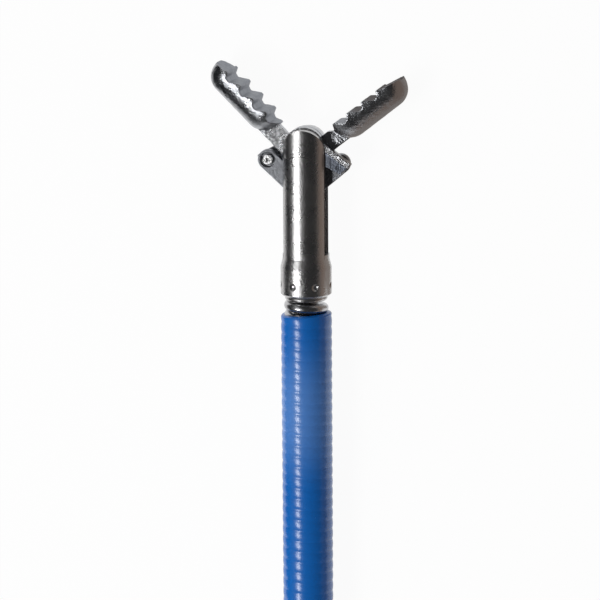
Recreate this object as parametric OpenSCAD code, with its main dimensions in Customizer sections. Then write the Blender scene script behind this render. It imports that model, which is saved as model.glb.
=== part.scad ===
// Working end of a flexible endoscopic grasping forceps. Two toothed jaws swing
// on a forked clevis, and a pull wire closes them through a pair of short links.
// The instrument lies along Y with its jaws towards +Y. The jaws open in the XY
// plane, and the fork's front arm is on the +Z side. The origin is the centre of
// the sheath's cut end. Millimetres.

/* [Sheath] */
// Length of jacket kept behind the exposed coil
jacket_len = 15.65; // [10:0.05:40]
// Wall of the jacket over the crests of its ridges
jacket_wall = 0.145; // [0.1:0.005:0.2]
// Depth of the grooves that the coil's turns leave in the jacket
jacket_groove = 0.03; // [0.01:0.005:0.04]
// Rounding of the jacket's front edge
jacket_edge = 0.06; // [0.03:0.01:0.06]
// Outside diameter of the coil
coil_d = 2.1; // [2:0.02:2.3]
// Diameter of the coil's wire
coil_wire_d = 0.46; // [0.4:0.01:0.48]
// Distance from turn to turn of the coil
coil_pitch = 0.52; // [0.5:0.01:0.6]

/* [Neck] */
// Length from the jacket's front edge to the collar
neck_len = 0.85; // [0.6:0.05:2]
// Diameter of the connector's bead, between the collar and the coil
bead_d = 1.98; // [1.8:0.02:2.1]
// Width of the bead along the instrument
bead_w = 0.26; // [0.2:0.02:0.4]
// Outside diameter of the connector's tube inside the collar
connector_d = 1.6; // [1.4:0.05:1.7]
// Length of the connector's tube inside the collar
connector_grip = 1.05; // [0.7:0.05:1.2]
// Outside diameter of the connector's spigot inside the coil
spigot_d = 1.1; // [1:0.02:1.12]
// Length of the spigot inside the coil
spigot_len = 2.0; // [1:0.1:4]

/* [Clevis] */
// Diameter of the collar that is crimped on the connector
collar_d = 2.4; // [2.3:0.01:2.5]
// Length of the collar and its shoulder
collar_len = 1.75; // [1.5:0.05:2.5]
// Length of the conical shoulder between collar and fork
shoulder_len = 0.4; // [0.2:0.05:0.6]
// Break of the collar's rear edge
collar_chamfer = 0.08; // [0.04:0.01:0.15]
// Diameter of the fork's barrel
fork_d = 2.2; // [2.14:0.02:2.26]
// Length of the fork from the shoulder to the pivot
fork_len = 5.25; // [5.2:0.05:7]
// How far the slot stops short of the shoulder
slot_stop = 0.2; // [0.1:0.01:0.25]
// How far the arms reach past the pivot
arm_top = 0.87; // [0.8:0.01:1]
// Number of crimp dents round the collar
dent_count = 7; // [4:1:10]
// Radius of the punch that makes a dent
dent_r = 0.22; // [0.15:0.01:0.3]
// Depth of a dent
dent_depth = 0.1; // [0.05:0.01:0.15]
// Distance from the collar's rear face to the dents
dent_inset = 0.52; // [0.3:0.02:0.6]

/* [Jaws] */
// Thickness of a jaw's plate and of a link, one layer of the stack
layer_t = 0.44; // [0.4:0.01:0.46]
// Distance from the pivot to the tip of a jaw
jaw_len = 5.65; // [5.2:0.05:8]
// Radius of the round back of a jaw
jaw_r = 1.14; // [1:0.01:1.18]
// Rounding of the jaw's nose
nose_r = 0.85; // [0.6:0.05:1]
// Distance from the pivot to the heel of the toothed head
heel_s = 1.55; // [1.5:0.05:1.9]
// Rounding of the heel
heel_r = 1.0; // [0.6:0.05:1]
// Distance from tooth to tooth
tooth_pitch = 0.87; // [0.7:0.01:1]
// Depth of the teeth
tooth_depth = 0.25; // [0.15:0.01:0.3]
// Flat land on the crest of a tooth
tooth_land = 0.12; // [0.05:0.01:0.2]
// Distance from the pivot to the left jaw's first full tooth
left_first_tooth = 2.28; // [2.1:0.01:2.4]
// Number of tooth gaps on each jaw
tooth_gaps = 4; // [2:1:4]
// Slope of the beak's face from its crest to the tip, in degrees
beak_slope = 9; // [0:1:15]
// Radius of the hub round the pivot
hub_r = 0.95; // [0.9:0.01:1]
// Inner edge of the plate, measured from the closing plane
shank_inset = 0.08; // [0.05:0.01:0.2]
// Angle of the left jaw from the axis, as it rests open
left_open = 44.5; // [30:0.5:50]
// Angle of the right jaw from the axis, as it rests open
right_open = 52; // [30:0.5:55]

/* [Linkage] */
// Radius of the pivot pin
pivot_r = 0.24; // [0.18:0.01:0.3]
// Distance from the pivot to the rivet in a jaw's tail
tail_len = 1.8; // [1.75:0.01:1.9]
// Angle between a jaw and its tail, beyond a straight line
tail_bend = 19; // [18:0.5:22]
// Reach of the tail past its rivet, at its longer corner
tail_end = 0.52; // [0.45:0.01:0.6]
// Half width of the tail's end
tail_half = 0.34; // [0.32:0.01:0.4]
// Rounding of the tail's corners
tail_corner_r = 0.08; // [0.04:0.01:0.15]
// Width of the raised band along the tail's upper edge
tail_band = 0.28; // [0.15:0.01:0.32]
// Depth of the relief beside that band, in the tail's outer face
tail_relief = 0.04; // [0.02:0.01:0.06]
// Working length of a link, from rivet to rod pin
link_len = 2.25; // [2.2:0.01:2.4]
// Half width of a link
link_r = 0.47; // [0.42:0.01:0.5]
// Radius of a rivet's shank
rivet_r = 0.16; // [0.12:0.01:0.18]
// Radius of a rivet's formed head
rivet_head_r = 0.25; // [0.2:0.01:0.27]
// Thickness of a rivet's head
rivet_head_t = 0.1; // [0.06:0.01:0.12]
// Radius of the recess round a rivet's head
recess_r = 0.35; // [0.3:0.01:0.36]
// Radius of the punch that leaves a mark in a rivet's head
punch_r = 0.1; // [0.06:0.01:0.14]
// Depth of the punch mark
punch_depth = 0.04; // [0.02:0.005:0.05]
// Radius of the rod pin
rod_pin_r = 0.14; // [0.12:0.01:0.16]
// Radial play of a link's lower eye on the rod pin
rod_pin_play = 0.22; // [0.22:0.01:0.24]
// Radius of a link's lower eye
link_eye_r = 0.5; // [0.46:0.01:0.52]

/* [Pull rod] */
// Thickness of the rod's tongue between the links
tongue_t = 0.32; // [0.26:0.01:0.34]
// Half width of the tongue
tongue_r = 0.35; // [0.28:0.01:0.36]
// Length of the tongue behind the rod pin
tongue_len = 1.1; // [1.05:0.01:1.1]
// Diameter of the rod's round shank
rod_d = 0.7; // [0.6:0.02:0.8]
// Length of the rod behind the rod pin
rod_len = 4.4; // [4:0.1:6]
// Depth of the socket that the pull wire is fixed in
wire_socket = 1.2; // [0.6:0.1:2]
// Diameter of the pull wire
wire_d = 0.45; // [0.3:0.01:0.5]
// Length of pull wire that stands out of the sheath's cut end
wire_out = 2; // [1:0.1:4]

/* [Clearances] */
// Gap between faces that move past each other
face_gap = 0.04; // [0.03:0.005:0.06]
// Radial clearance of a pin or rod that moves in its hole
run_gap = 0.025; // [0.015:0.005:0.035]
// Radial clearance of a piece that is fixed in its hole
fix_gap = 0.01; // [0.005:0.005:0.01]
// Distance of each beak from the closing plane
bite_gap = 0.03; // [0.02:0.005:0.06]
// How far each row of teeth reaches past the closing plane, into the other's gaps
bite = 0.04; // [0.01:0.005:0.05]

/* [Hidden] */
$fn = 64;
over = 1;

COIL_STEPS = 18;
COIL_SIDES = 6;
RIDGE_STEPS = 4;
DENT_PHASE = 30.5;

// Share of its play by which a link's lower eye sits nearer the rivet, and the
// turn in degrees added to a link, which keep the rod pin near the eye's middle
EYE_SHIFT = 0.2;
LINK_BIAS = 1.2;

// Where a tooth gap is deepest and where its steep side starts, as shares of the
// pitch, and how deep it still is there, as a share of the full depth
GAP_FOOT = 0.62;
GAP_ROOT = 0.86;
ROOT_SHARE = 0.8;

// Width of the tail's upper side at the hub, and how much shorter its lower
// corner is, as shares of its half width
TAIL_ROOT_SHARE = 2.2;
TAIL_SLANT_SHARE = 0.6;

jacket_bore_r = coil_d / 2 + fix_gap;
jacket_r = jacket_bore_r + jacket_wall;
coil_wire_r = coil_wire_d / 2;
coil_mean_r = coil_d / 2 - coil_wire_r;
collar_r = collar_d / 2;
fork_r = fork_d / 2;

collar_y = jacket_len + neck_len;
pivot_y = collar_y + collar_len + fork_len;
slot_depth = fork_len - slot_stop;
coil_front_y = collar_y - bead_w - fix_gap;

slot_w = 2 * layer_t + 3 * face_gap;
arm_half = sqrt(fork_r * fork_r - slot_w * slot_w / 4);
layer_z = face_gap / 2;
thin_z = tongue_t / 2 + face_gap;

eye_span = link_len - EYE_SHIFT * rod_pin_play;
link_step = link_eye_r + rod_pin_play + face_gap;
open_drop = (rod_drop(left_open) + rod_drop(right_open)) / 2;
rod_bore_r = rod_d / 2 + run_gap;

// Place of a jaw's tail rivet from the pivot: side is -1 on the left, 1 on the right
function tail_pin(side, open) =
    [side * tail_len * sin(open + tail_bend), -tail_len * cos(open + tail_bend), 0];

// Distance from the pivot back to the rod pin that suits a jaw angle
function rod_drop(open) =
    tail_len * cos(open + tail_bend) + sqrt(pow(link_len, 2) - pow(tail_len * sin(open + tail_bend), 2));

// Angle of a link from the axis, when it is aimed at the rod pin
function link_angle(open) =
    atan2(tail_len * sin(open + tail_bend), open_drop - tail_len * cos(open + tail_bend)) + LINK_BIAS;

// Turns a shape made along Z so that it runs along Y
module along_y() {
    rotate([-90, 0, 0])
        children();
}

module at_pivot() {
    translate([0, pivot_y, 0])
        children();
}

// Round bar or hole along Y from one place to another
module bar_y(r, from_y, to_y) {
    translate([0, from_y, 0])
        along_y()
            cylinder(r = r, h = to_y - from_y);
}

// Round pin or hole along Z through a point
module pin_z(r, from_z, to_z) {
    translate([0, 0, from_z])
        cylinder(r = r, h = to_z - from_z);
}

module clevis() {
    fork_y = collar_y + collar_len;
    arm_end_y = pivot_y + arm_top;
    color("lightsteelblue")
        difference() {
            union() {
                intersection() {
                    bar_y(fork_r, fork_y - shoulder_len, arm_end_y);
                    union() {
                        translate([-over - fork_r, 0, -fork_r - over])
                            cube([2 * (fork_r + over), arm_end_y - arm_half, 2 * (fork_r + over)]);
                        translate([0, arm_end_y - arm_half, 0])
                            pin_z(arm_half, -fork_r - over, fork_r + over);
                    }
                }
                translate([0, fork_y - shoulder_len, 0])
                    along_y()
                        cylinder(r1 = collar_r, r2 = fork_r, h = shoulder_len);
                bar_y(collar_r, collar_y + collar_chamfer, fork_y - shoulder_len);
                translate([0, collar_y, 0])
                    along_y()
                        cylinder(r1 = collar_r - collar_chamfer, r2 = collar_r, h = collar_chamfer);
            }
            translate([-fork_r - over, pivot_y - slot_depth, -slot_w / 2])
                cube([2 * (fork_r + over), slot_depth + arm_top + over, slot_w]);
            bar_y(rod_bore_r, collar_y - over, pivot_y);
            bar_y(connector_d / 2 + fix_gap, collar_y - over, collar_y + connector_grip + fix_gap);
            at_pivot()
                pin_z(pivot_r + fix_gap, -fork_r - over, fork_r + over);
            for (i = [0 : dent_count - 1])
                translate([0, collar_y + dent_inset, 0])
                    rotate([0, DENT_PHASE + i * 360 / dent_count, 0])
                        translate([0, 0, collar_r + dent_r - dent_depth])
                            sphere(r = dent_r);
        }
}

// The pin is dressed flush with the round of the arms
module pivot_pin() {
    color("gainsboro")
        intersection() {
            at_pivot()
                pin_z(pivot_r, -fork_r, fork_r);
            bar_y(fork_r, pivot_y - 2 * pivot_r, pivot_y + 2 * pivot_r);
        }
}

module sheath_connector() {
    edge_r = bead_w / 2;
    color("silver")
        difference() {
            union() {
                bar_y(connector_d / 2, collar_y, collar_y + connector_grip);
                translate([0, collar_y - bead_w, 0])
                    along_y() {
                        cylinder(r = bead_d / 2 - edge_r, h = bead_w);
                        rotate_extrude()
                            translate([bead_d / 2 - edge_r, edge_r])
                                circle(r = edge_r);
                    }
                bar_y(spigot_d / 2, collar_y - bead_w - spigot_len, collar_y - bead_w);
            }
            bar_y(rod_bore_r, collar_y - bead_w - spigot_len - over, collar_y + connector_grip + over);
        }
}

// Place round the coil at an angle counted from its cut front end
function coil_ring(angle) = [
    for (k = [0 : COIL_SIDES - 1])
        let (
            a = k * 360 / COIL_SIDES,
            out = coil_mean_r + coil_wire_r * cos(a)
        )
        [
            -out * cos(angle),
            coil_front_y - coil_wire_r - coil_pitch * angle / 360 + coil_wire_r * sin(a),
            out * sin(angle)
        ]
];

// One wire wound on a helix, with its cut front end open to view in the neck
module sheath_coil() {
    turns = (coil_front_y - coil_wire_d) / coil_pitch;
    rings = floor(turns * COIL_STEPS);
    points = [
        for (i = [0 : rings])
            each coil_ring(i * 360 / COIL_STEPS)
    ];
    sides = [
        for (i = [0 : rings - 1])
            for (k = [0 : COIL_SIDES - 1])
                let (
                    a = i * COIL_SIDES + k,
                    b = i * COIL_SIDES + (k + 1) % COIL_SIDES
                )
                [a, b, b + COIL_SIDES, a + COIL_SIDES]
    ];
    front = [for (k = [COIL_SIDES - 1 : -1 : 0]) k];
    rear = [for (k = [0 : COIL_SIDES - 1]) rings * COIL_SIDES + k];
    color("slategray")
        polyhedron(points = points, faces = concat(sides, [front, rear]), convexity = 10);
}

// Radius of the jacket at a distance from its front edge
function ridge_r(back) = jacket_r - jacket_groove * (1 + cos(360 * back / coil_pitch)) / 2;

module sheath_jacket() {
    step = coil_pitch / RIDGE_STEPS;
    count = floor((jacket_len - jacket_edge) / step);
    color("royalblue")
        along_y()
            rotate_extrude()
                polygon(concat(
                    [[jacket_bore_r, 0]],
                    [for (i = [count : -1 : 1]) [ridge_r(i * step), max(0, jacket_len - jacket_edge - i * step)]],
                    [
                        [jacket_r - jacket_edge / 2, jacket_len - jacket_edge / 2],
                        [jacket_r - jacket_edge, jacket_len],
                        [jacket_bore_r, jacket_len]
                    ]
                ));
}

// Toothed head of a closed jaw: half of a round bar with a domed nose and heel
module jaw_head() {
    nose_y = jaw_len - nose_r;
    heel_y = heel_s + heel_r;
    intersection() {
        along_y()
            rotate_extrude()
                intersection() {
                    square([jaw_r, jaw_len]);
                    union() {
                        translate([0, heel_y])
                            square([jaw_r, nose_y - heel_y]);
                        translate([0, heel_s])
                            square([jaw_r - heel_r, heel_r]);
                        translate([jaw_r - heel_r, heel_y])
                            circle(r = heel_r);
                        translate([0, nose_y])
                            square([jaw_r - nose_r, nose_r]);
                        translate([jaw_r - nose_r, nose_y])
                            circle(r = nose_r);
                    }
                }
        translate([-jaw_r - over, 0, -jaw_r - over])
            cube([jaw_r + over + bite, jaw_len + over, 2 * (jaw_r + over)]);
    }
}

// Gaps of the saw teeth, whose steep sides face the pivot
module tooth_cuts(first_tooth) {
    foot = GAP_FOOT * tooth_pitch;
    root = GAP_ROOT * tooth_pitch;
    beak_y = first_tooth + (tooth_gaps - 1) * tooth_pitch + tooth_land;
    for (i = [-1 : tooth_gaps - 2])
        translate([0, first_tooth + i * tooth_pitch, -jaw_r - over])
            linear_extrude(height = 2 * (jaw_r + over))
                polygon([
                    [over, tooth_land],
                    [bite, tooth_land],
                    [-tooth_depth, foot],
                    [-ROOT_SHARE * tooth_depth, root],
                    [bite, tooth_pitch],
                    [over, tooth_pitch]
                ]);
    translate([-bite_gap, beak_y, -jaw_r - over])
        rotate([0, 0, beak_slope])
            cube([over, jaw_len, 2 * (jaw_r + over)]);
}

// Distance of the tail's upper edge from its middle line, at a distance behind the pivot
function tail_edge(back) = tail_half * (TAIL_ROOT_SHARE - (TAIL_ROOT_SHARE - 1) * back / (tail_len + tail_end));

// Outline of a tail along -Y, with a slanted end and rounded corners
module jaw_tail() {
    side = tail_half - tail_corner_r;
    end_y = -tail_len - tail_end + tail_corner_r;
    corners = [
        [tail_edge(0) - tail_corner_r, 0],
        [side, end_y],
        [-side, end_y + TAIL_SLANT_SHARE * tail_half],
        [-side, 0]
    ];
    hull()
        for (corner = corners)
            translate(corner)
                circle(r = tail_corner_r);
}

// Relief in a tail's outer face, from the hub to past the tail's end
module tail_relief_cut() {
    far = tail_len + tail_end + over;
    translate([0, 0, layer_z + layer_t - tail_relief])
        linear_extrude(height = over)
            polygon([
                [-over, -hub_r],
                [-over, -far],
                [tail_edge(far) - tail_band, -far],
                [tail_edge(hub_r) - tail_band, -hub_r]
            ]);
}

// Flat plate of a closed jaw: shank, hub and bent tail in one layer
module jaw_plate() {
    translate([0, 0, layer_z])
        linear_extrude(height = layer_t)
            union() {
                circle(r = hub_r);
                translate([-hub_r, 0])
                    square([hub_r - shank_inset, heel_s + heel_r]);
                rotate([0, 0, tail_bend])
                    jaw_tail();
            }
}

// A closed jaw at the pivot, with its back to -X and its plate in the front layer
module jaw_casting(first_tooth) {
    difference() {
        union() {
            jaw_plate();
            jaw_head();
        }
        tooth_cuts(first_tooth);
        pin_z(pivot_r + run_gap, -over, jaw_r + over);
        rotate([0, 0, tail_bend]) {
            tail_relief_cut();
            translate([0, -tail_len, 0])
                pin_z(rivet_r + fix_gap, -over, jaw_r + over);
        }
    }
}

module left_jaw() {
    color("darkgray")
        at_pivot()
            rotate([0, 0, left_open])
                jaw_casting(left_first_tooth);
}

// The right jaw is turned over, and its teeth sit half a pitch nearer the pivot
module right_jaw() {
    color("darkgray")
        at_pivot()
            rotate([0, 0, -right_open])
                rotate([0, 180, 0])
                    jaw_casting(left_first_tooth - tooth_pitch / 2);
}

// Rivet that holds a link in the front layer to a tail in the rear layer
module rivet() {
    head_z = layer_z + layer_t;
    difference() {
        union() {
            pin_z(rivet_r, tail_relief - head_z, head_z - face_gap / 2);
            pin_z(rivet_head_r, head_z - rivet_head_t, head_z);
        }
        translate([0, 0, head_z + punch_r - punch_depth])
            sphere(r = punch_r);
    }
}

module left_tail_rivet() {
    color("whitesmoke")
        at_pivot()
            translate(tail_pin(-1, right_open))
                rivet();
}

module right_tail_rivet() {
    color("whitesmoke")
        at_pivot()
            translate(tail_pin(1, left_open))
                rotate([0, 180, 0])
                    rivet();
}

// Link in the front layer, with its upper eye at the origin and its lower eye on -Y
module link() {
    top_z = layer_z + layer_t;
    recess_z = top_z - rivet_head_t - face_gap;
    difference() {
        union() {
            pin_z(link_r, layer_z, top_z);
            translate([-link_r, -eye_span, layer_z])
                cube([2 * link_r, eye_span, layer_t]);
            translate([0, -eye_span, 0])
                pin_z(link_eye_r, layer_z, top_z);
        }
        pin_z(rivet_r + run_gap, -over, top_z + over);
        pin_z(recess_r, recess_z, top_z + over);
        translate([0, -eye_span, 0])
            pin_z(rod_pin_r + rod_pin_play, -over, top_z + over);
        translate([-over, -eye_span - over, -over])
            cube([2 * over, over + link_step, over + thin_z]);
    }
}

module left_link() {
    color("dimgray")
        at_pivot()
            translate(tail_pin(-1, right_open))
                rotate([0, 0, link_angle(right_open)])
                    link();
}

module right_link() {
    color("dimgray")
        at_pivot()
            translate(tail_pin(1, left_open))
                rotate([0, 0, -link_angle(left_open)])
                    rotate([0, 180, 0])
                        link();
}

module at_rod_pin() {
    translate([0, pivot_y - open_drop, 0])
        children();
}

module rod_pin() {
    color("whitesmoke")
        at_rod_pin()
            pin_z(rod_pin_r, -layer_z - layer_t, layer_z + layer_t);
}

// Rod with a flat tongue between the links and a socket for the wire
module pull_rod() {
    color("lightgray")
        at_rod_pin()
            difference() {
                union() {
                    pin_z(tongue_r, -tongue_t / 2, tongue_t / 2);
                    translate([-tongue_r, -tongue_len, -tongue_t / 2])
                        cube([2 * tongue_r, tongue_len, tongue_t]);
                    bar_y(rod_d / 2, -rod_len, -tongue_len);
                    // Core that runs from the tongue into the shank
                    bar_y(tongue_t / 4, -tongue_len - tongue_t, tongue_t - tongue_len);
                }
                pin_z(rod_pin_r + fix_gap, -over, over);
                bar_y(wire_d / 2 + fix_gap, -rod_len - over, wire_socket - rod_len);
            }
}

module pull_wire() {
    color("silver")
        bar_y(wire_d / 2, -wire_out, pivot_y - open_drop - rod_len + wire_socket - fix_gap);
}

clevis();
pivot_pin();
sheath_connector();
sheath_coil();
sheath_jacket();
left_jaw();
right_jaw();
left_tail_rivet();
right_tail_rivet();
left_link();
right_link();
rod_pin();
pull_rod();
pull_wire();
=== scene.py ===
from math import atan2, cos, degrees, pi, radians, sin, sqrt

import bmesh
import bpy
from mathutils import Matrix, Vector, noise


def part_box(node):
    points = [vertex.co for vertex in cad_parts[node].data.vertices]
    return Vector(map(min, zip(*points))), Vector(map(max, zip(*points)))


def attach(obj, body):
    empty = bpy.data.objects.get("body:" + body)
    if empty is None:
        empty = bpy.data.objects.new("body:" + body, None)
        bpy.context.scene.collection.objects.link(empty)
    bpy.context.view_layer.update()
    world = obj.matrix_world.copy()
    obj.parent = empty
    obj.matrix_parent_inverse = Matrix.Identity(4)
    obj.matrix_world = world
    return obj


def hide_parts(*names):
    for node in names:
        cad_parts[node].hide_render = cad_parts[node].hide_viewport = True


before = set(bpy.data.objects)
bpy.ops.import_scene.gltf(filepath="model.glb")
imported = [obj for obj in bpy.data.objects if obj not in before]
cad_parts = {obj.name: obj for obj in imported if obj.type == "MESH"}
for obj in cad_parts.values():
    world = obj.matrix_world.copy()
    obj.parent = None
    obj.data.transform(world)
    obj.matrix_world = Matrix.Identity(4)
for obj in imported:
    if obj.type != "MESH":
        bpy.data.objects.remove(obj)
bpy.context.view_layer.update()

MM = 0.001

# Sizes of the part in millimetres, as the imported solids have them
JACKET_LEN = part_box("sheath_jacket")[1].y / MM
COLLAR_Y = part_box("clevis")[0].y / MM
PIVOT_Y = COLLAR_Y + 7.0
JACKET_R = 1.205
JACKET_BORE_R = 1.06
JACKET_GROOVE = 0.03
JACKET_LIP_R = 0.93
COLLAR_R = 1.2
COLLAR_LEN = 1.75
COLLAR_BREAK = 0.08
SHOULDER_LEN = 0.4
FORK_R = 1.1
ARM_TOP = 0.87
SLOT_HALF = 0.5
SLOT_DEPTH = 5.05
ARM_HALF = sqrt(FORK_R ** 2 - SLOT_HALF ** 2)
DENTS = 7
DENT_PHASE = 30.5
DENT_R = 0.22
DENT_DEPTH = 0.1
DENT_INSET = 0.52
BEAD_R = 1.0
BEAD_W = 0.26
TUBE_R = 0.8
TUBE_GRIP = 1.05
SPIGOT_R = 0.55
SPIGOT_LEN = 2.0
ROD_BORE_R = 0.375
COIL_R = 1.05
WIRE_R = 0.23
COIL_PITCH = 0.52
LAYER_Z = 0.02
LAYER_TOP = 0.46
JAW_LEN = 5.65
JAW_R = 1.14
NOSE_R = 0.85
HEEL_S = 1.55
HEEL_R = 1.0
BITE = 0.04
BEAK_GAP = 0.03
BEAK_SLOPE = 9.0
TOOTH_PITCH = 0.87
TOOTH_DEPTH = 0.25
TOOTH_LAND = 0.12
FIRST_TOOTH = 2.28
HUB_R = 0.95
SHANK_INSET = 0.08
TAIL_BEND = 19.0
TAIL_LEN = 1.8
TAIL_END = 0.52
TAIL_HALF = 0.34
TAIL_CORNER_R = 0.08
TAIL_ROOT_SHARE = 2.2
TAIL_SLANT_SHARE = 0.6
TAIL_BAND = 0.28
TAIL_RELIEF = 0.04
LEFT_OPEN = 44.5
RIGHT_OPEN = 52.0
PIVOT_R = 0.24
RIVET_R = 0.16
RIVET_HEAD_R = 0.25
RIVET_HEAD_T = 0.1
PUNCH_R = 0.1
PUNCH_DEPTH = 0.04
LINK_LEN = 2.25
LINK_R = 0.47
LINK_EYE_R = 0.5
LINK_BIAS = 1.2
EYE_SPAN = 2.206
EYE_HOLE_R = 0.36
LINK_STEP = 0.76
LINK_THIN_Z = 0.2
RECESS_R = 0.35
RECESS_Z = 0.32
RUN_GAP = 0.025
# A rivet's foot is spread and dressed with the tail's face, so that no line shows round it
SKIN = 0.03
FLOOR_Z = -JACKET_R

# The camera looks down on the lying instrument, a little from its front and its right
PIXELS = 600
PIXEL_MM = 0.0465
CAMERA_TURN = 11.0
CAMERA_RISE = 11.5
AXIS_LEAN = 0.42
PIVOT_PX = (305.3, 146.5)
LENS = 150.0
SENSOR = 36.0


def place_camera():
    turn, rise = radians(CAMERA_TURN), radians(CAMERA_RISE)
    back = Vector((sin(turn) * cos(rise), sin(rise), cos(turn) * cos(rise)))
    right = Vector((back.z, 0, -back.x)).normalized()
    up = back.cross(right)
    # Going up the picture the axis leans left, so the camera is rolled the other way
    lean = radians(AXIS_LEAN)
    right, up = right * cos(lean) - up * sin(lean), up * cos(lean) + right * sin(lean)
    off_right = (PIVOT_PX[0] - PIXELS / 2) * PIXEL_MM
    off_up = (PIXELS / 2 - PIVOT_PX[1]) * PIXEL_MM
    target = Vector((0, PIVOT_Y, 0)) - right * off_right - up * off_up
    distance = LENS / SENSOR * PIXELS * PIXEL_MM
    lens = bpy.data.cameras.new("photo_camera")
    lens.lens = LENS
    lens.sensor_width = SENSOR
    lens.clip_start = 0.002
    lens.clip_end = 10.0
    camera = bpy.data.objects.new("photo_camera", lens)
    bpy.context.scene.collection.objects.link(camera)
    turned = Matrix((right, up, back)).transposed().to_4x4()
    camera.matrix_world = Matrix.Translation((target + back * distance) * MM) @ turned
    bpy.context.scene.camera = camera


def linear(code, alpha=1.0):
    """A colour written as sRGB hex, turned to linear light."""
    parts = [int(code[i:i + 2], 16) / 255 for i in (1, 3, 5)]
    return [p / 12.92 if p <= 0.04045 else ((p + 0.055) / 1.055) ** 2.4 for p in parts] + [alpha]


def add(tree, kind, inputs=None, **settings):
    """Adds a node, sets its settings, and fills its sockets with values or links."""
    made = tree.nodes.new(kind)
    for key, value in settings.items():
        setattr(made, key, value)
    for key, value in (inputs or {}).items():
        socket = made.inputs[key]
        if isinstance(value, bpy.types.NodeSocket):
            tree.links.new(value, socket)
        else:
            socket.default_value = value
    return made


def new_material(name):
    made = bpy.data.materials.new(name)
    made.use_nodes = True
    made.node_tree.nodes.clear()
    return made, made.node_tree


# Stage: a white floor, a dim studio round it, lamps and cards
def seen_share(tree):
    """1 for a ray from the camera, a gloss or through something clear, 0 for a diffuse one."""
    path = add(tree, "ShaderNodeLightPath")
    both = add(tree, "ShaderNodeMath", {0: path.outputs["Is Camera Ray"], 1: path.outputs["Is Glossy Ray"]},
               operation="ADD")
    return add(tree, "ShaderNodeMath", {0: both.outputs[0], 1: path.outputs["Is Transmission Ray"]},
               operation="ADD", use_clamp=True).outputs[0]


def add_sheet(name, corners):
    """A flat sheet of the stage, with its corners in metres."""
    mesh = bpy.data.meshes.new(name)
    mesh.from_pydata(corners, [], [(0, 1, 2, 3)])
    sheet = bpy.data.objects.new(name, mesh)
    bpy.context.scene.collection.objects.link(sheet)
    return sheet


def build_floor():
    size, z = 1.2, FLOOR_Z * MM
    floor = add_sheet("floor", [(-size, -size, z), (size, -size, z), (size, size, z), (-size, size, z)])
    paper, tree = new_material("white_paper_sweep")
    lit = add(tree, "ShaderNodeEmission", {"Color": linear("#FFFFFF"), "Strength": 1.0})
    matt = add(tree, "ShaderNodeBsdfDiffuse", {"Color": linear("#F4F4F4")})
    share = add(tree, "ShaderNodeMath", {0: seen_share(tree), 1: 0.95}, operation="MULTIPLY")
    mix = add(tree, "ShaderNodeMixShader", {0: share.outputs[0], 1: matt.outputs[0], 2: lit.outputs[0]})
    add(tree, "ShaderNodeOutputMaterial", {"Surface": mix.outputs[0]})
    floor.data.materials.append(paper)


def build_world():
    world = bpy.data.worlds.new("studio")
    bpy.context.scene.world = world
    world.use_nodes = True
    tree = world.node_tree
    tree.nodes.clear()
    where = add(tree, "ShaderNodeTexCoord")
    parts = add(tree, "ShaderNodeSeparateXYZ", {0: where.outputs["Generated"]})
    # The room is white low down, where the sweep rises behind the floor, and its ceiling is dark
    ramp = add(tree, "ShaderNodeMapRange", {"Value": parts.outputs["Z"], "From Min": 0.1, "From Max": 0.3,
                                            "To Min": 1.0, "To Max": 0.03}, interpolation_type="SMOOTHSTEP")
    seen = add(tree, "ShaderNodeBackground", {"Color": linear("#FFFFFF"), "Strength": ramp.outputs[0]})
    soft = add(tree, "ShaderNodeBackground", {"Color": linear("#FFFFFF"), "Strength": 0.2})
    mix = add(tree, "ShaderNodeMixShader", {0: seen_share(tree), 1: soft.outputs[0], 2: seen.outputs[0]})
    add(tree, "ShaderNodeOutputWorld", {"Surface": mix.outputs[0]})


def add_softbox(name, rise, away, wide, long, radiance, middle_y, in_gloss=True):
    """A lamp box on the instrument's left, at a rise in degrees and a distance away, both from its axis."""
    lamp = bpy.data.lights.new(name, "AREA")
    lamp.shape = "RECTANGLE"
    lamp.size = wide
    lamp.size_y = long
    lamp.energy = radiance * pi * wide * long
    box = bpy.data.objects.new(name, lamp)
    bpy.context.scene.collection.objects.link(box)
    out = Vector((-cos(radians(rise)), 0, sin(radians(rise))))
    along = Vector((0, 1, 0))
    aim = Matrix((along.cross(out), along, out)).transposed().to_4x4()
    box.matrix_world = Matrix.Translation(out * away + along * middle_y) @ aim
    box.visible_glossy = in_gloss


def add_card(name, corners, colour):
    """A card that only shows in gloss, such as a dark flag beside the instrument."""
    card = add_sheet(name, corners)
    board, tree = new_material(name)
    glow = add(tree, "ShaderNodeEmission", {"Color": linear(colour), "Strength": 1.0})
    add(tree, "ShaderNodeOutputMaterial", {"Surface": glow.outputs[0]})
    card.data.materials.append(board)
    card.visible_camera = False
    card.visible_diffuse = False
    card.visible_shadow = False
    card.visible_transmission = False


def standing(x, low_y, high_y, low_z, high_z):
    return [(x, low_y, low_z), (x, high_y, low_z), (x, high_y, high_z), (x, low_y, high_z)]


def lying(z, low_x, high_x, low_y, high_y):
    return [(low_x, low_y, z), (high_x, low_y, z), (high_x, high_y, z), (low_x, high_y, z)]


def build_stage():
    build_floor()
    build_world()
    floor = FLOOR_Z * MM
    add_softbox("key_strip", 56, 0.20, 0.052, 0.09, 11.0, -0.04)
    add_softbox("key_wide", 48, 0.22, 0.17, 0.40, 1.15, 0.016, in_gloss=False)
    add_softbox("far_strip", 45, 0.20, 0.06, 0.10, 1.5, 0.14)
    add_card("dark_flag", standing(-0.0065, -0.04, 0.05, floor, 0.0024), "#15171B")
    add_card("warm_board", standing(0.0068, -0.04, 0.05, floor, 0.0022), "#8A7A70")
    # A sheet seen only in gloss, lying on the floor right of the jaws and the neck: painted shade, standing in for
    # the shadow on the floor there as the metal reflects it
    add_card("floor_shade_card", lying(floor + 0.00005, 0.0018, 0.0068, 0.0158, 0.034), "#9C948E")


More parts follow.
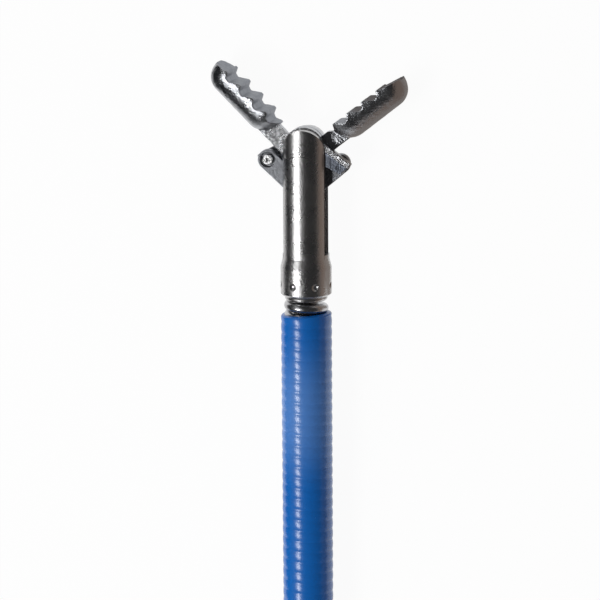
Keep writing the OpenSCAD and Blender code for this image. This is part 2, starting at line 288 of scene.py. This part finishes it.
# Shapes, made in millimetres
def solid(name, points, faces):
    mesh = bpy.data.meshes.new(name)
    mesh.from_pydata([tuple(p) for p in points], [], faces)
    made = bpy.data.objects.new(name, mesh)
    bpy.context.scene.collection.objects.link(made)
    return made


def lathe(name, profile, steps):
    """Turns a profile of (radius, y) round Y. It closes on the axis where it starts and ends there."""
    points, rows = [], []
    for r, y in profile:
        if r < 1e-9:
            rows.append([len(points)] * steps)
            points.append((0, y, 0))
        else:
            rows.append([len(points) + i for i in range(steps)])
            points += [(r * sin(2 * pi * i / steps), y, r * cos(2 * pi * i / steps)) for i in range(steps)]
    pairs = list(zip(rows, rows[1:]))
    if profile[0][0] > 1e-9:
        pairs.append((rows[-1], rows[0]))
    faces = []
    for a, b in pairs:
        for i in range(steps):
            j = (i + 1) % steps
            ring = [a[i], a[j], b[j], b[i]]
            face = [v for n, v in enumerate(ring) if v not in ring[:n]]
            if len(face) > 2:
                faces.append(face)
    return solid(name, points, faces)


def bar(name, r, low_y, high_y, steps=64):
    return lathe(name, [(0.0, low_y), (r, low_y), (r, high_y), (0.0, high_y)], steps)


def prism(name, outline, low_z, high_z):
    """A flat outline of (x, y) raised along Z."""
    n = len(outline)
    points = [(x, y, low_z) for x, y in outline] + [(x, y, high_z) for x, y in outline]
    faces = [list(range(n))[::-1], [n + i for i in range(n)]]
    faces += [[i, (i + 1) % n, n + (i + 1) % n, n + i] for i in range(n)]
    return solid(name, points, faces)


def disc(r, x=0.0, y=0.0, steps=96):
    return [(x + r * cos(2 * pi * i / steps), y + r * sin(2 * pi * i / steps)) for i in range(steps)]


def oblong(x0, y0, x1, y1):
    return [(x0, y0), (x1, y0), (x1, y1), (x0, y1)]


def rounded(centres, r, steps=8):
    """Outline round equal discs at the corners of a convex shape, whose centres go anticlockwise."""
    outline = []
    for i, (x, y) in enumerate(centres):
        before, after = centres[i - 1], centres[(i + 1) % len(centres)]
        start = atan2(before[0] - x, y - before[1])
        turn = (atan2(x - after[0], after[1] - y) - start) % (2 * pi)
        outline += [(x + r * cos(start + turn * k / steps), y + r * sin(start + turn * k / steps))
                    for k in range(steps + 1)]
    return outline


def ball(name, r, at):
    steps = 24
    arc = [(r * sin(pi * i / steps), -r * cos(pi * i / steps)) for i in range(1, steps)]
    made = lathe(name, [(0.0, -r)] + arc + [(0.0, r)], 40)
    return moved(made, Matrix.Translation(at))


def moved(made, matrix):
    made.data.transform(matrix)
    return made


def face_outwards(made):
    shape = bmesh.new()
    shape.from_mesh(made.data)
    bmesh.ops.recalc_face_normals(shape, faces=shape.faces)
    shape.to_mesh(made.data)
    shape.free()


def settle(made):
    """Applies the modifiers of a piece, so that it keeps only its own mesh."""
    bpy.context.view_layer.update()
    graph = bpy.context.evaluated_depsgraph_get()
    mesh = bpy.data.meshes.new_from_object(made.evaluated_get(graph))
    made.modifiers.clear()
    made.data = mesh
    return made


def carve(made, tools, how="DIFFERENCE"):
    """Cuts tools from a piece, or joins them to it, and puts the tools away."""
    face_outwards(made)
    for tool in tools:
        face_outwards(tool)
        cut = made.modifiers.new("cut", "BOOLEAN")
        cut.object = tool
        cut.operation = how
        cut.solver = "MANIFOLD"
    settle(made)
    for tool in tools:
        bpy.data.objects.remove(tool)
    return made


def tumble(made, grain, rounds):
    """Rebuilds a solid from small even faces and rubs its edges down, as tumbling does."""
    even = made.modifiers.new("even", "REMESH")
    even.mode = "VOXEL"
    even.voxel_size = grain
    rub = made.modifiers.new("rub", "SMOOTH")
    rub.factor = 0.5
    rub.iterations = rounds
    return settle(made)


def cast_skin(made, lump, lump_high, grain, grain_high):
    """Raises the uneven skin that the mould leaves: broad lumps and a fine grain."""
    raised = []
    for v in made.data.vertices:
        high = noise.noise(v.co / lump) * lump_high + noise.noise(v.co / grain) * grain_high
        raised.append(v.co + v.normal * high)
    for v, place in zip(made.data.vertices, raised):
        v.co = place
    return made


def paint(made, pick):
    """Chooses each face's material by its centre and normal, before the piece is set in place."""
    for face in made.data.polygons:
        face.material_index = pick(face.center, face.normal)
    return made


def dress(made, body, node, materials, sharp=None):
    """Brings a piece to metres, smooths its shading and sets it on its body in place of its solid."""
    made.data.transform(Matrix.Scale(MM, 4))
    picks = [min(face.material_index, len(materials) - 1) for face in made.data.polygons]
    made.data.materials.clear()
    for material in materials:
        made.data.materials.append(material)
    for face, pick in zip(made.data.polygons, picks):
        face.use_smooth = True
        face.material_index = pick
    if sharp is not None:
        shape = bmesh.new()
        shape.from_mesh(made.data)
        for edge in shape.edges:
            if len(edge.link_faces) == 2 and edge.calc_face_angle(0) > radians(sharp):
                edge.smooth = False
        shape.to_mesh(made.data)
        shape.free()
    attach(made, body)
    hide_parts(node)


# Materials
def grained_metal(name, colour, rough, grain_mm, grain_high_mm, patch_mm, run=(1.0, 1.0, 1.0), pits=0.0):
    """Bare steel: its gloss drifts from patch to patch, and a fine grain of a real size breaks it up.

    run stretches the grain, below 1 along the axis it runs in. pits sinks small round hollows into it."""
    made, tree = new_material(name)
    where = add(tree, "ShaderNodeTexCoord").outputs["Object"]
    drawn = add(tree, "ShaderNodeVectorMath", {0: where, 1: run}, operation="MULTIPLY").outputs[0]
    patch = add(tree, "ShaderNodeTexNoise", {"Vector": where, "Scale": 1 / (patch_mm * MM), "Detail": 3.0})
    grain = add(tree, "ShaderNodeTexNoise", {"Vector": drawn, "Scale": 1 / (grain_mm * MM), "Detail": 4.0,
                                             "Roughness": 0.6})
    spots = add(tree, "ShaderNodeTexVoronoi", {"Vector": where, "Scale": 1 / (grain_mm * 2.5 * MM)})
    hollow = add(tree, "ShaderNodeMapRange", {"Value": spots.outputs["Distance"], "From Min": 0.05,
                                              "From Max": 0.35, "To Min": -pits, "To Max": 0.0}).outputs[0]
    skin = add(tree, "ShaderNodeMath", {0: grain.outputs[0], 1: hollow}, operation="ADD").outputs[0]
    gloss = add(tree, "ShaderNodeMapRange", {"Value": patch.outputs[0], "From Min": 0.3, "From Max": 0.7,
                                             "To Min": rough[0], "To Max": rough[1]}).outputs[0]
    bump = add(tree, "ShaderNodeBump", {"Height": skin, "Strength": 1.0, "Distance": grain_high_mm * MM})
    steel = add(tree, "ShaderNodeBsdfPrincipled", {"Base Color": linear(colour), "Metallic": 1.0,
                                                   "Roughness": gloss, "Normal": bump.outputs[0]})
    add(tree, "ShaderNodeOutputMaterial", {"Surface": steel.outputs[0]})
    return made


def jacket_plastic():
    """Extruded fluoropolymer, blue through and through: glossy, with a painted sheen on one stretch, where the blue
    turns paler.
    """
    made, tree = new_material("extruded_blue_fluoropolymer")
    where = add(tree, "ShaderNodeTexCoord").outputs["Object"]
    patch = add(tree, "ShaderNodeTexNoise", {"Vector": where, "Scale": 1 / (0.25 * MM), "Detail": 3.0})
    along = add(tree, "ShaderNodeSeparateXYZ", {0: where}).outputs["Y"]
    # Painted sheen: from 7 to 15 mm along the jacket the blue is mixed towards a paler blue, most between 10.5 and
    # 11.5 mm, standing in for a broad hazy shine of light there
    front = add(tree, "ShaderNodeMapRange", {"Value": along, "From Min": 15.0 * MM, "From Max": 11.5 * MM},
                interpolation_type="SMOOTHSTEP")
    rear = add(tree, "ShaderNodeMapRange", {"Value": along, "From Min": 7.0 * MM, "From Max": 10.5 * MM},
               interpolation_type="SMOOTHSTEP")
    painted_sheen = add(tree, "ShaderNodeMath", {0: front.outputs[0], 1: rear.outputs[0]}, operation="MULTIPLY")
    blue = add(tree, "ShaderNodeMix", {"Factor": painted_sheen.outputs[0], "A": linear("#0A66BC"), "B": linear("#4C82CC")},
               data_type="RGBA")
    gloss = add(tree, "ShaderNodeMapRange", {"Value": patch.outputs[0], "To Min": 0.2, "To Max": 0.3})
    bump = add(tree, "ShaderNodeBump", {"Height": patch.outputs[0], "Strength": 1.0, "Distance": 0.002 * MM})
    plastic = add(tree, "ShaderNodeBsdfPrincipled", {"Base Color": blue.outputs["Result"],
                                                     "IOR": 1.46, "Specular IOR Level": 0.8,
                                                     "Roughness": gloss.outputs[0], "Normal": bump.outputs[0]})
    add(tree, "ShaderNodeOutputMaterial", {"Surface": plastic.outputs[0]})
    return made


# Turned bar, finely brushed round its axis: one clean bright band with a broken edge beside near black
TURNED = grained_metal("turned_stainless_bar", "#C2C1C1", (0.24, 0.32), 0.07, 0.013, 0.7, (0.75, 1.0, 0.75))
# Investment casting, tumbled: dark, softly glossy, with a pebbled highlight
CAST = grained_metal("tumbled_investment_casting", "#B2B4B8", (0.24, 0.34), 0.1, 0.018, 0.5, pits=0.4)
# Its tooth faces: matt, and darker and bluer than the casting, a painted reflection standing in for the darker floor
# that these down-facing faces mirror
TOOTH_FACE_PAINTED_DARK = grained_metal("tooth_faces_painted_dark_steel", "#7B7F87", (0.4, 0.5), 0.08, 0.012, 0.3)
# The same casting where no tool has touched it: bright crumbs of light on grey
RAW_CAST = grained_metal("raw_investment_casting", "#DCDDE0", (0.22, 0.36), 0.13, 0.085, 0.4, pits=0.5)
# A face milled on the casting, with fine lines along the cut
MILLED = grained_metal("milled_cast_steel", "#6E737D", (0.36, 0.46), 0.09, 0.018, 0.4, (1.0, 0.25, 1.0))
# Blanked strip, deburred: smooth mid grey
STAMPED = grained_metal("blanked_stainless_strip", "#989A9F", (0.32, 0.55), 0.09, 0.024, 0.25)
# Headed wire, peened over: bright and a little hammered
PEENED = grained_metal("peened_stainless_wire", "#DADADB", (0.2, 0.3), 0.08, 0.02, 0.3)
# Hard drawn spring wire: the smoothest metal here
DRAWN = grained_metal("hard_drawn_stainless_wire", "#BEBEC0", (0.24, 0.32), 0.09, 0.004, 0.4)
JACKET = jacket_plastic()


# Clevis: collar, conical shoulder and slotted fork in one turned and milled piece
def arm_edge_cutter(name, side, edge):
    """A strip that breaks the milled edge of one arm, down one flank, over its round top and down the other."""
    round_y = PIVOT_Y + ARM_TOP - ARM_HALF
    floor_y = PIVOT_Y - SLOT_DEPTH - 0.2
    stations = [(-ARM_HALF, floor_y, -1.0, 0.0)]
    for k in range(-24, 25):
        lean = pi / 2 * k / 24
        stations.append((ARM_HALF * sin(lean), round_y + ARM_HALF * cos(lean), sin(lean), cos(lean)))
    stations.append((ARM_HALF, floor_y, 1.0, 0.0))
    points, faces = [], []
    for x, y, nx, ny in stations:
        top = sqrt(FORK_R ** 2 - x * x)
        for out, high in ((-edge, 0.02), (0.02, -edge), (0.3, -edge), (0.3, 0.4), (-edge, 0.4)):
            points.append((x + nx * out, y + ny * out, side * (top + high)))
    n = 5
    last = len(stations) - 1
    for i in range(last):
        faces += [[i * n + k, i * n + (k + 1) % n, (i + 1) * n + (k + 1) % n, (i + 1) * n + k] for k in range(n)]
    faces += [list(range(n))[::-1], [last * n + k for k in range(n)]]
    return solid(name, points, faces)


def build_clevis():
    fork_y, top_y = COLLAR_Y + COLLAR_LEN, PIVOT_Y + ARM_TOP
    cone_y, edge_y = fork_y - SHOULDER_LEN, COLLAR_Y + COLLAR_BREAK
    rows = [(0.0, COLLAR_Y), (COLLAR_R - COLLAR_BREAK, COLLAR_Y), (COLLAR_R, edge_y)]
    rows += [(COLLAR_R, edge_y + (cone_y - edge_y) * i / 12) for i in range(1, 13)]
    rows += [(FORK_R, fork_y + (top_y - fork_y) * i / 60) for i in range(61)]
    rows += [(0.0, top_y)]
    fork = lathe("clevis_piece", rows, 192)
    round_y = top_y - ARM_HALF
    arch = [(-2.0, COLLAR_Y - 1), (2.0, COLLAR_Y - 1), (2.0, round_y)]
    arch += [(ARM_HALF * cos(pi * i / 96), round_y + ARM_HALF * sin(pi * i / 96)) for i in range(97)]
    arch += [(-2.0, round_y)]
    carve(fork, [prism("arch", arch, -2, 2)], "INTERSECT")
    tools = [
        prism("slot", oblong(-2, PIVOT_Y - SLOT_DEPTH, 2, top_y + 1), -SLOT_HALF, SLOT_HALF),
        bar("bore", ROD_BORE_R, COLLAR_Y - 1, PIVOT_Y),
        bar("tube_seat", TUBE_R + 0.01, COLLAR_Y - 1, COLLAR_Y + TUBE_GRIP + 0.01),
        prism("pin_hole", disc(PIVOT_R + 0.01, 0, PIVOT_Y, 48), -2, 2),
    ]
    for i in range(DENTS):
        turn = radians(DENT_PHASE + 360 / DENTS * i)
        out = COLLAR_R + DENT_R - DENT_DEPTH
        tools.append(ball(f"punch_{i}", DENT_R, (out * sin(turn), COLLAR_Y + DENT_INSET, out * cos(turn))))
    carve(fork, tools)
    for side in (1, -1):
        carve(fork, [arm_edge_cutter("edge_cutter", side, 0.025)])
    dress(fork, "shaft", "clevis", [TURNED], 20)


def build_pivot_pin():
    pin = prism("pivot_pin_piece", disc(PIVOT_R, 0, PIVOT_Y, 48), -FORK_R - 0.5, FORK_R + 0.5)
    carve(pin, [bar("barrel", FORK_R, PIVOT_Y - 1, PIVOT_Y + 1, 192)], "INTERSECT")
    dress(pin, "shaft", "pivot_pin", [TURNED], 30)


# Neck: the connector's bead, and the coil whose cut end shows
def build_connector():
    low = COLLAR_Y - BEAD_W
    half = BEAD_W / 2
    profile = [(ROD_BORE_R, low - SPIGOT_LEN), (SPIGOT_R, low - SPIGOT_LEN), (SPIGOT_R, low)]
    profile += [(BEAD_R - half + half * sin(pi * i / 16), low + half - half * cos(pi * i / 16)) for i in range(17)]
    profile += [(TUBE_R, COLLAR_Y), (TUBE_R, COLLAR_Y + TUBE_GRIP), (ROD_BORE_R, COLLAR_Y + TUBE_GRIP)]
    piece = lathe("sheath_connector_piece", profile, 128)
    face_outwards(piece)
    dress(piece, "shaft", "sheath_connector", [TURNED], 35)


def build_coil():
    front_y = COLLAR_Y - BEAD_W - 0.01
    steps, sides = 48, 16
    count = int((front_y - 2 * WIRE_R) / COIL_PITCH * steps)
    points, faces = [], []
    for i in range(count + 1):
        turns = i / steps
        # The first turns are closed up towards the bead
        closed = 0.11 * sin(pi * min(turns / 6, 1.0)) + 0.1 * sin(pi * min(turns, 1.0))
        middle_y = front_y - WIRE_R - COIL_PITCH * turns + closed
        for k in range(sides):
            a = 2 * pi * k / sides
            out = COIL_R - WIRE_R + WIRE_R * cos(a)
            points.append((-out * cos(2 * pi * turns), middle_y + WIRE_R * sin(a), out * sin(2 * pi * turns)))
    for i in range(count):
        a, b = i * sides, (i + 1) * sides
        faces += [[a + k, a + (k + 1) % sides, b + (k + 1) % sides, b + k] for k in range(sides)]
    faces += [list(range(sides))[::-1], [count * sides + k for k in range(sides)]]
    piece = solid("sheath_coil_piece", points, faces)
    face_outwards(piece)
    dress(piece, "shaft", "sheath_coil", [DRAWN], 50)


def build_jacket():
    """A thin wall drawn down over the coil, so that each turn shows as a ridge. Its front is cut a little askew."""
    steps, rows = 128, int(JACKET_LEN / COIL_PITCH * 12)
    phase = (COLLAR_Y - BEAD_W - 0.01 - WIRE_R) / COIL_PITCH
    edge, askew = 0.14, 0.055
    ring = [(sin(2 * pi * i / steps), cos(2 * pi * i / steps)) for i in range(steps)]
    points, faces = [], []
    for j in range(rows + 1):
        for x, z in ring:
            front = JACKET_LEN - askew / 2 + askew * x
            y = front * j / rows
            # Turns are counted from the coil's cut end, at the left
            turns = atan2(z, -x) / (2 * pi)
            along = y / COIL_PITCH - phase + turns
            r = JACKET_R - JACKET_GROOVE * (2 * (along - round(along))) ** 2
            back = front - y
            if back < edge:
                r = min(r, JACKET_R - edge + sqrt(max(0.0, edge ** 2 - (edge - back) ** 2)))
            points.append((r * x, y, r * z))
    for j in range(rows):
        a, b = j * steps, (j + 1) * steps
        faces += [[a + i, b + i, b + (i + 1) % steps, a + (i + 1) % steps] for i in range(steps)]
    bore = len(points)
    points += [(JACKET_BORE_R * x, 0.0, JACKET_BORE_R * z) for x, z in ring]
    # The front edge has shrunk on to the wire
    points += [(JACKET_LIP_R * x, JACKET_LEN - askew / 2 + askew * x, JACKET_LIP_R * z) for x, z in ring]
    top = rows * steps
    for i in range(steps):
        j = (i + 1) % steps
        faces += [[i, j, bore + j, bore + i], [top + i, bore + steps + i, bore + steps + j, top + j],
                  [bore + i, bore + j, bore + steps + j, bore + steps + i]]
    piece = solid("sheath_jacket_piece", points, faces)
    face_outwards(piece)
    dress(piece, "shaft", "sheath_jacket", [JACKET], 40)


# Jaws: one casting each, made closed at the pivot with its back to the left and its plate in front
def tail_edge(back):
    """Distance of the tail's upper edge from its middle line, at a distance behind the pivot."""
    return TAIL_HALF * (TAIL_ROOT_SHARE - (TAIL_ROOT_SHARE - 1) * back / (TAIL_LEN + TAIL_END))


def tooth_cuts(first):
    tools = []
    for i in range(-1, 3):
        y = first + i * TOOTH_PITCH
        gap = [(1, TOOTH_LAND), (1, TOOTH_PITCH), (BITE, TOOTH_PITCH), (-0.8 * TOOTH_DEPTH, 0.86 * TOOTH_PITCH),
               (-TOOTH_DEPTH, 0.62 * TOOTH_PITCH), (BITE, TOOTH_LAND)]
        tools.append(prism(f"gap_{i}", [(x, y + h) for x, h in gap], -3, 3))
    face = moved(prism("beak", oblong(0, 0, 1, 6), -3, 3), Matrix.Rotation(radians(BEAK_SLOPE), 4, "Z"))
    beak_y = first + 3 * TOOTH_PITCH + TOOTH_LAND
    return tools + [moved(face, Matrix.Translation((-BEAK_GAP, beak_y, 0)))]


def casting_finish(centre, normal):
    """0 tumbled casting, 1 raw casting on the plate's outer face, 2 the relief on the tail, 3 a tooth's face."""
    # Tooth faces take material 3, darker than the casting: a painted reflection of a darker floor
    if centre.y > HEEL_S and centre.x > -TOOTH_DEPTH - 0.03 and abs(normal.z) < 0.3:
        return 3
    if normal.z < 0.7 or centre.y > HEEL_S + 0.1 or centre.z > LAYER_TOP + 0.05:
        return 0
    return 1 if centre.z > LAYER_TOP - TAIL_RELIEF / 2 else 2


def build_jaw(name, first, place, body, node):
    nose_y, heel_y = JAW_LEN - NOSE_R, HEEL_S + HEEL_R
    arc = 14
    turns = [pi / 2 * i / arc for i in range(arc + 1)]
    rows = [(0.0, HEEL_S)]
    rows += [(JAW_R - HEEL_R + HEEL_R * sin(t), heel_y - HEEL_R * cos(t)) for t in turns]
    rows += [(JAW_R - NOSE_R + NOSE_R * cos(t), nose_y + NOSE_R * sin(t)) for t in turns]
    rows += [(0.0, JAW_LEN)]
    jaw = lathe(name, rows, 96)
    carve(jaw, [prism("closing_half", oblong(BITE, 0, 3, JAW_LEN + 1), -3, 3)])
    side = TAIL_HALF - TAIL_CORNER_R
    end_y = TAIL_CORNER_R - TAIL_LEN - TAIL_END
    corners = [(tail_edge(0) - TAIL_CORNER_R, 0.0), (-side, 0.0), (-side, end_y + TAIL_SLANT_SHARE * TAIL_HALF),
               (side, end_y)]
    bend = Matrix.Rotation(radians(TAIL_BEND), 4, "Z")
    carve(jaw, [
        prism("hub", disc(HUB_R), LAYER_Z, LAYER_TOP),
        prism("shank", oblong(-HUB_R, 0, -SHANK_INSET, HEEL_S + HEEL_R), LAYER_Z, LAYER_TOP),
        moved(prism("tail", rounded(corners, TAIL_CORNER_R), LAYER_Z, LAYER_TOP), bend),
    ], "UNION")
    far = TAIL_LEN + TAIL_END + 1
    relief = [(-1, -HUB_R), (-1, -far), (tail_edge(far) - TAIL_BAND, -far), (tail_edge(HUB_R) - TAIL_BAND, -HUB_R)]
    carve(jaw, tooth_cuts(first) + [
        prism("pin_hole", disc(PIVOT_R + RUN_GAP, steps=48), -2, 2),
        moved(prism("rivet_hole", disc(RIVET_R + 0.01, 0, -TAIL_LEN, 48), -2, LAYER_TOP - TAIL_RELIEF - SKIN), bend),
        moved(prism("relief", relief, LAYER_TOP - TAIL_RELIEF, 2), bend),
    ])
    tumble(jaw, 0.028, 3)
    paint(jaw, casting_finish)
    cast_skin(jaw, 0.22, 0.009, 0.07, 0.003)
    moved(jaw, place)
    dress(jaw, body, node, [CAST, RAW_CAST, MILLED, TOOTH_FACE_PAINTED_DARK])


def at_pivot(turn, over=False):
    place = Matrix.Translation((0, PIVOT_Y, 0)) @ Matrix.Rotation(radians(turn), 4, "Z")
    return place @ Matrix.Rotation(pi, 4, "Y") if over else place


# Links and rivets: side is -1 on the left, where the right jaw's tail carries them, and 1 on the right
def tail_pin(side, opened):
    a = radians(opened + TAIL_BEND)
    return side * TAIL_LEN * sin(a), PIVOT_Y - TAIL_LEN * cos(a)


def rod_drop(opened):
    a = radians(opened + TAIL_BEND)
    return TAIL_LEN * cos(a) + sqrt(LINK_LEN ** 2 - (TAIL_LEN * sin(a)) ** 2)


OPEN_DROP = (rod_drop(LEFT_OPEN) + rod_drop(RIGHT_OPEN)) / 2


def link_turn(opened):
    a = radians(opened + TAIL_BEND)
    return atan2(TAIL_LEN * sin(a), OPEN_DROP - TAIL_LEN * cos(a)) + radians(LINK_BIAS)


def at_tail_pin(side, opened, turn=0.0):
    x, y = tail_pin(side, opened)
    place = Matrix.Translation((x, y, 0)) @ Matrix.Rotation(-side * turn, 4, "Z")
    return place @ Matrix.Rotation(pi, 4, "Y") if side > 0 else place


def build_link(name, side, opened, body, node):
    link = prism(name, disc(LINK_R), LAYER_Z, LAYER_TOP)
    carve(link, [
        prism("strap", oblong(-LINK_R, -EYE_SPAN, LINK_R, 0), LAYER_Z, LAYER_TOP),
        prism("eye", disc(LINK_EYE_R, 0, -EYE_SPAN), LAYER_Z, LAYER_TOP),
    ], "UNION")
    carve(link, [
        prism("rivet_hole", disc(RIVET_R + RUN_GAP), -2, 2),
        prism("recess", disc(RECESS_R), RECESS_Z, 2),
        prism("eye_hole", disc(EYE_HOLE_R, 0, -EYE_SPAN), -2, 2),
        prism("step", oblong(-1, -EYE_SPAN - 1, 1, -EYE_SPAN + LINK_STEP), -1, LINK_THIN_Z),
    ])
    tumble(link, 0.02, 3)
    moved(link, at_tail_pin(side, opened, link_turn(opened)))
    dress(link, body, node, [STAMPED])


def build_rivet(name, side, opened, body, node):
    rivet = prism(name, disc(RIVET_R, steps=48), TAIL_RELIEF + SKIN - LAYER_TOP, LAYER_TOP - 0.02)
    carve(rivet, [prism("formed_head", disc(RIVET_HEAD_R, steps=64), LAYER_TOP - RIVET_HEAD_T, LAYER_TOP)], "UNION")
    carve(rivet, [ball("punch", PUNCH_R, (0, 0, LAYER_TOP + PUNCH_R - PUNCH_DEPTH))])
    tumble(rivet, 0.014, 3)
    moved(rivet, at_tail_pin(side, opened))
    dress(rivet, body, node, [PEENED])


place_camera()
bpy.context.scene.view_settings.view_transform = "Standard"
build_stage()
build_clevis()
build_pivot_pin()
build_connector()
build_coil()
build_jacket()
build_jaw("left_jaw_piece", FIRST_TOOTH, at_pivot(LEFT_OPEN), "left_jaw", "left_jaw")
build_jaw("right_jaw_piece", FIRST_TOOTH - TOOTH_PITCH / 2, at_pivot(-RIGHT_OPEN, True), "right_jaw", "right_jaw")
build_link("left_link_piece", -1, RIGHT_OPEN, "left_link", "left_link")
build_link("right_link_piece", 1, LEFT_OPEN, "right_link", "right_link")
build_rivet("left_rivet_piece", -1, RIGHT_OPEN, "right_jaw", "left_tail_rivet")
build_rivet("right_rivet_piece", 1, LEFT_OPEN, "left_jaw", "right_tail_rivet")

# The rod, its pin and the wire are plain turned shapes and keep their solids
for node, material in (("pull_rod", TURNED), ("rod_pin", PEENED), ("pull_wire", DRAWN)):
    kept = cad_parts[node]
    kept.data.materials.clear()
    kept.data.materials.append(material)
